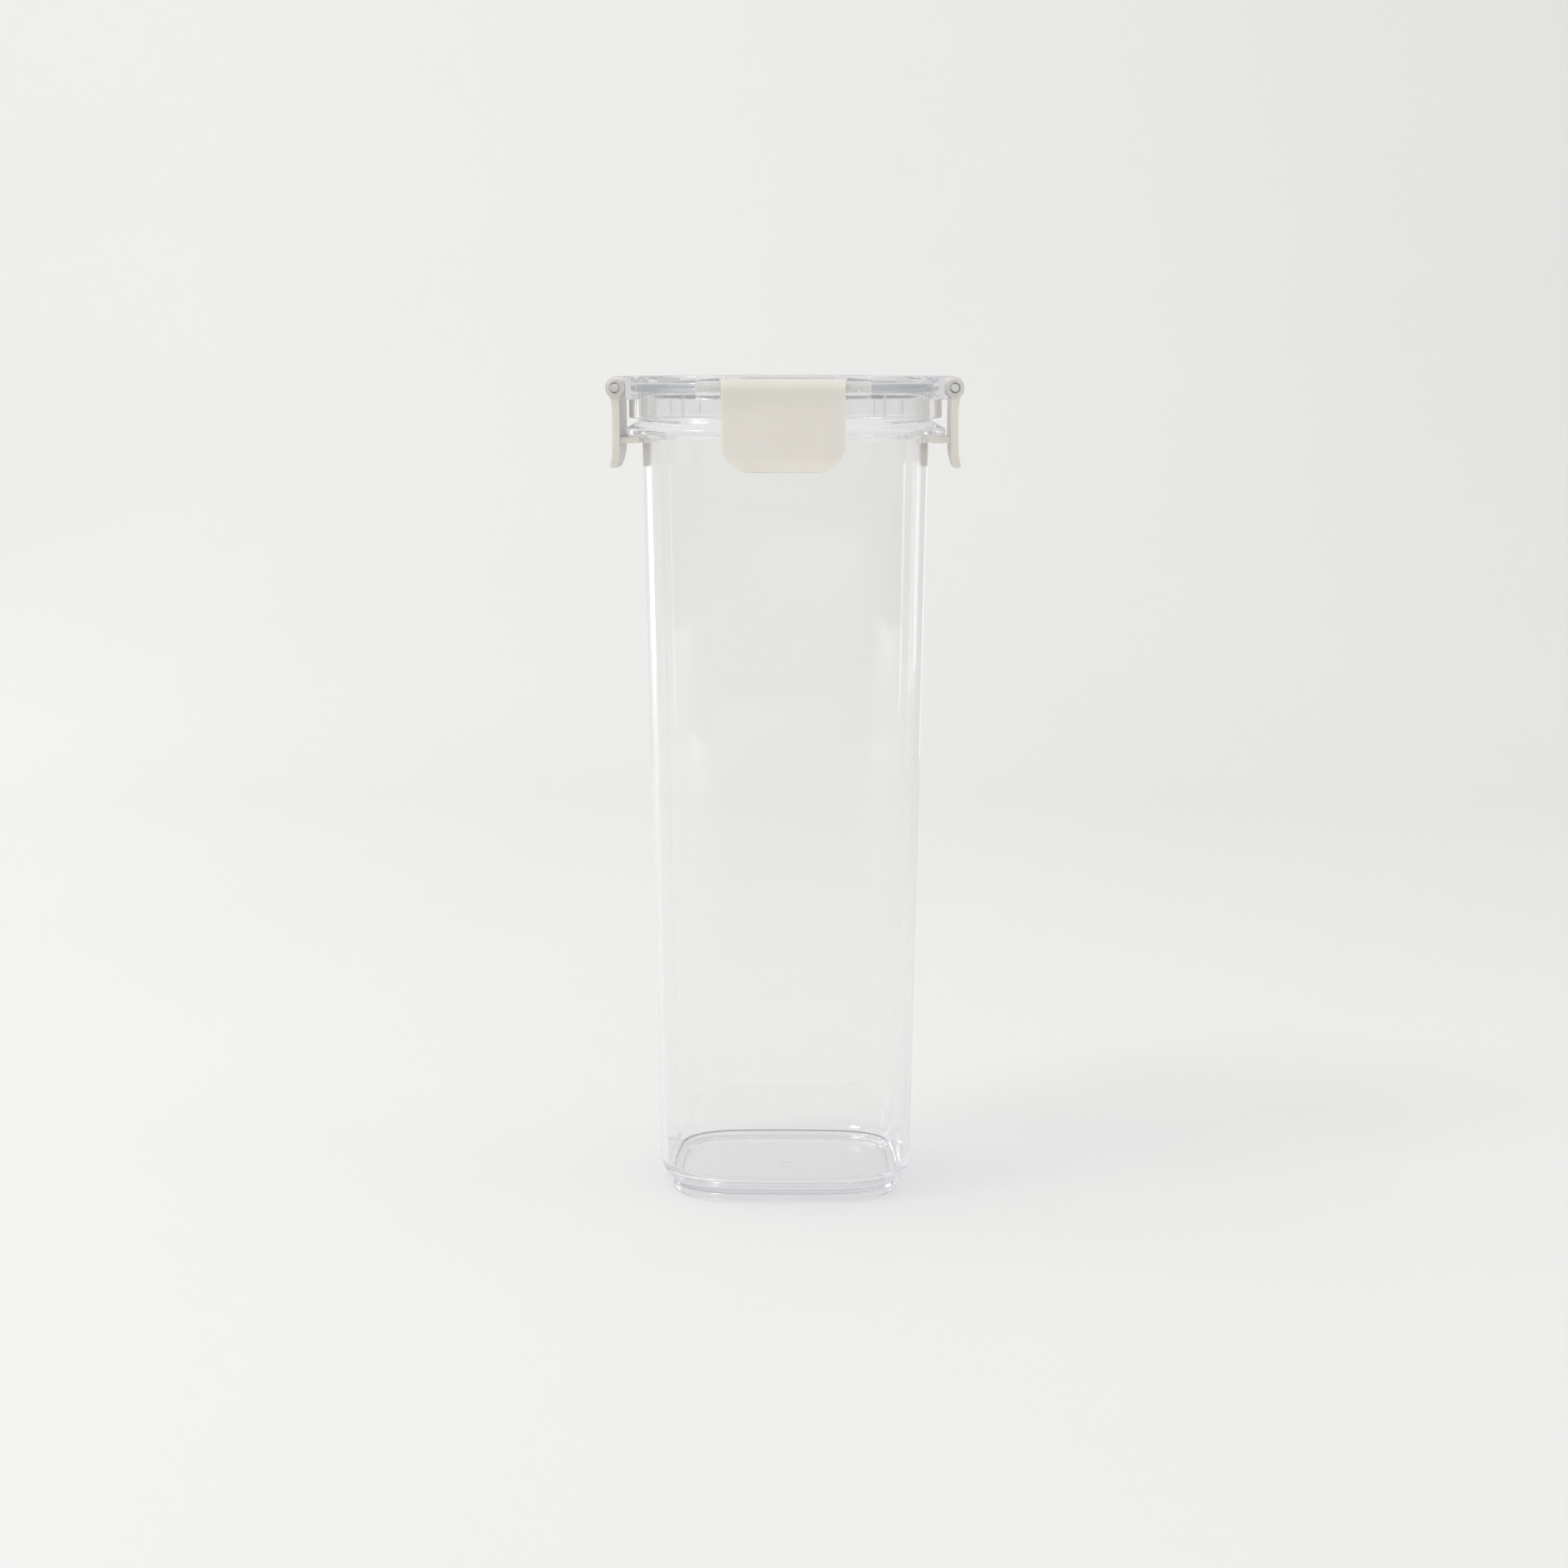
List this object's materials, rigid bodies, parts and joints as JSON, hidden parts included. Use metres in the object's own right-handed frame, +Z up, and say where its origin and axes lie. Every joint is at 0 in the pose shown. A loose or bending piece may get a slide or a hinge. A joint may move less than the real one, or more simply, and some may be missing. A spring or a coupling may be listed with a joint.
{
  "type": "food canister",
  "caption": "Tall clear tapered canister of rounded-square plan, with a clear skirted lid, a seal ring and hinged side latches that hook under the rim flange.",
  "frame": {"origin": "middle of the foot, on the surface the canister stands on", "axes": "+Z up along the canister, -Y towards the front latch, +X towards the right latch"},
  "size_m": [0.1242, 0.1242, 0.29],
  "materials": {
    "clear_plastic": "clear, polished",
    "clear_pin_plastic": "clear, polished",
    "silicone": "translucent, matt",
    "ivory_plastic": "fine satin"
  },
  "bodies": {
    "canister": {"canister_body": "clear_plastic"},
    "lid": {"lid": "clear_plastic", "gasket": "silicone"},
    "pin_front": {"hinge_pin_front": "clear_pin_plastic"},
    "pin_right": {"hinge_pin_right": "clear_pin_plastic"},
    "pin_back": {"hinge_pin_back": "clear_pin_plastic"},
    "pin_left": {"hinge_pin_left": "clear_pin_plastic"},
    "latch_front": {"latch_front": "ivory_plastic"},
    "latch_right": {"latch_right": "ivory_plastic"},
    "latch_back": {"latch_back": "ivory_plastic"},
    "latch_left": {"latch_left": "ivory_plastic"}
  },
  "joints": [
    {"name": "lid_lift", "type": "slide", "parent": "canister", "child": "lid", "axis": [0, 0, 1], "range_m": [0, 0.01]},
    {"name": "pin_turn_front", "type": "hinge", "parent": "lid", "child": "pin_front", "pos_m": [0, -0.0589, 0.2857], "axis": [-1, 0, 0], "range_deg": [0, 84]},
    {"name": "pin_turn_right", "type": "hinge", "parent": "lid", "child": "pin_right", "pos_m": [0.0589, 0, 0.2857], "axis": [0, -1, 0], "range_deg": [0, 84]},
    {"name": "pin_turn_back", "type": "hinge", "parent": "lid", "child": "pin_back", "pos_m": [0, 0.0589, 0.2857], "axis": [1, 0, 0], "range_deg": [0, 84]},
    {"name": "pin_turn_left", "type": "hinge", "parent": "lid", "child": "pin_left", "pos_m": [-0.0589, 0, 0.2857], "axis": [0, 1, 0], "range_deg": [0, 84]},
    {"name": "latch_swing_front", "type": "hinge", "parent": "pin_front", "child": "latch_front", "pos_m": [0, -0.0589, 0.2857], "axis": [-1, 0, 0], "range_deg": [0, 110]},
    {"name": "latch_swing_right", "type": "hinge", "parent": "pin_right", "child": "latch_right", "pos_m": [0.0589, 0, 0.2857], "axis": [0, -1, 0], "range_deg": [0, 110]},
    {"name": "latch_swing_back", "type": "hinge", "parent": "pin_back", "child": "latch_back", "pos_m": [0, 0.0589, 0.2857], "axis": [1, 0, 0], "range_deg": [0, 110]},
    {"name": "latch_swing_left", "type": "hinge", "parent": "pin_left", "child": "latch_left", "pos_m": [-0.0589, 0, 0.2857], "axis": [0, 1, 0], "range_deg": [0, 110]}
  ],
  "couplings": [
    {"joint": "pin_turn_front", "follows": "lid_lift", "rad_per_m": 145},
    {"joint": "pin_turn_right", "follows": "lid_lift", "rad_per_m": 145},
    {"joint": "pin_turn_back", "follows": "lid_lift", "rad_per_m": 145},
    {"joint": "pin_turn_left", "follows": "lid_lift", "rad_per_m": 145}
  ]
}
